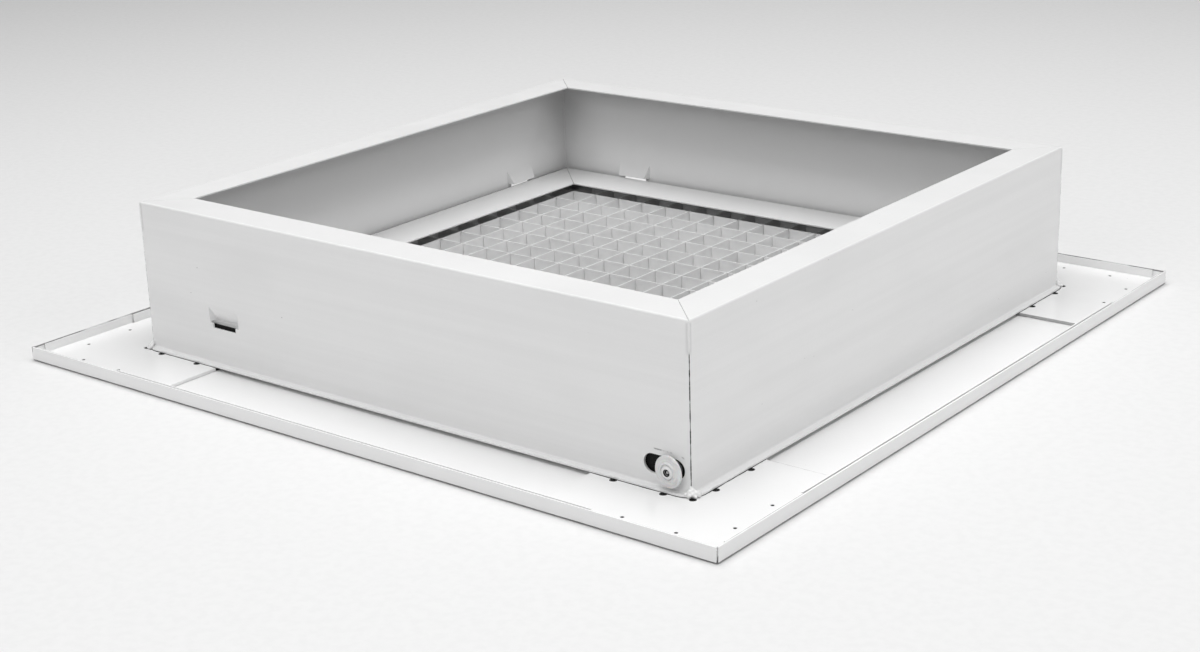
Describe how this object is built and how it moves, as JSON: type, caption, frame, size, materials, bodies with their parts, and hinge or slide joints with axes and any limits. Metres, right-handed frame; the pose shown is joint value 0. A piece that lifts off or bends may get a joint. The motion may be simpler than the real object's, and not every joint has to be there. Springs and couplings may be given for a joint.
{
  "type": "ceiling air diffuser",
  "caption": "Square lay-in ceiling air grille: flat face frame with a raised rim, sheet-metal neck, and a hinged egg-crate core that slides on its pivots as it swings down.",
  "frame": {"origin": "centre of the square face, on the surface that the face lies on", "axes": "+Z along the neck, away from the room side; +X towards the hinge side of the core; +Y along the hinge axis"},
  "size_m": [0.595, 0.595, 0.112],
  "materials": {
    "powder_coat": "white satin powder coat",
    "core_paint": "white satin paint on thin strip",
    "bush_plastic": "white moulded plastic",
    "rivet_metal": "satin",
    "seal_foam": "black closed-cell foam"
  },
  "bodies": {
    "root": {"face_profile_front": "powder_coat", "face_profile_right": "powder_coat", "face_profile_back": "powder_coat", "face_profile_left": "powder_coat", "corner_plate_front": "powder_coat", "corner_plate_right": "powder_coat", "corner_plate_back": "powder_coat", "corner_plate_left": "powder_coat", "neck_wall_front": "powder_coat", "neck_wall_right": "powder_coat", "neck_wall_back": "powder_coat", "neck_wall_left": "powder_coat"},
    "pivot_carriage": {"pivot_bush_front": "bush_plastic", "pivot_bush_back": "bush_plastic"},
    "core": {"core_rail_front": "powder_coat", "core_rail_right": "powder_coat", "core_rail_back": "powder_coat", "core_rail_left": "powder_coat", "core_seal_band": "seal_foam", "core_blade_x_01": "core_paint", "core_blade_x_02": "core_paint", "core_blade_x_03": "core_paint", "core_blade_x_04": "core_paint", "core_blade_x_05": "core_paint", "core_blade_x_06": "core_paint", "core_blade_x_07": "core_paint", "core_blade_x_08": "core_paint", "core_blade_x_09": "core_paint", "core_blade_x_10": "core_paint", "core_blade_x_11": "core_paint", "core_blade_x_12": "core_paint", "core_blade_x_13": "core_paint", "core_blade_x_14": "core_paint", "core_blade_x_15": "core_paint", "core_blade_x_16": "core_paint", "core_blade_x_17": "core_paint", "core_blade_x_18": "core_paint", "core_blade_x_19": "core_paint", "core_blade_y_01": "core_paint", "core_blade_y_02": "core_paint", "core_blade_y_03": "core_paint", "core_blade_y_04": "core_paint", "core_blade_y_05": "core_paint", "core_blade_y_06": "core_paint", "core_blade_y_07": "core_paint", "core_blade_y_08": "core_paint", "core_blade_y_09": "core_paint", "core_blade_y_10": "core_paint", "core_blade_y_11": "core_paint", "core_blade_y_12": "core_paint", "core_blade_y_13": "core_paint", "core_blade_y_14": "core_paint", "core_blade_y_15": "core_paint", "core_blade_y_16": "core_paint", "core_blade_y_17": "core_paint", "core_blade_y_18": "core_paint", "core_blade_y_19": "core_paint", "pivot_rivet_front": "rivet_metal", "pivot_rivet_back": "rivet_metal"}
  },
  "joints": [
    {"name": "pivot_slide", "type": "slide", "parent": "root", "child": "pivot_carriage", "axis": [-1, 0, 0], "range_m": [0, 0.015]},
    {"name": "core_hinge", "type": "hinge", "parent": "pivot_carriage", "child": "core", "pos_m": [0.2235, 0, 0.017], "axis": [0, -1, 0], "range_deg": [0, 90]}
  ],
  "couplings": [
    {"joint": "pivot_slide", "follows": "core_hinge", "m_per_rad": 0.0095}
  ]
}
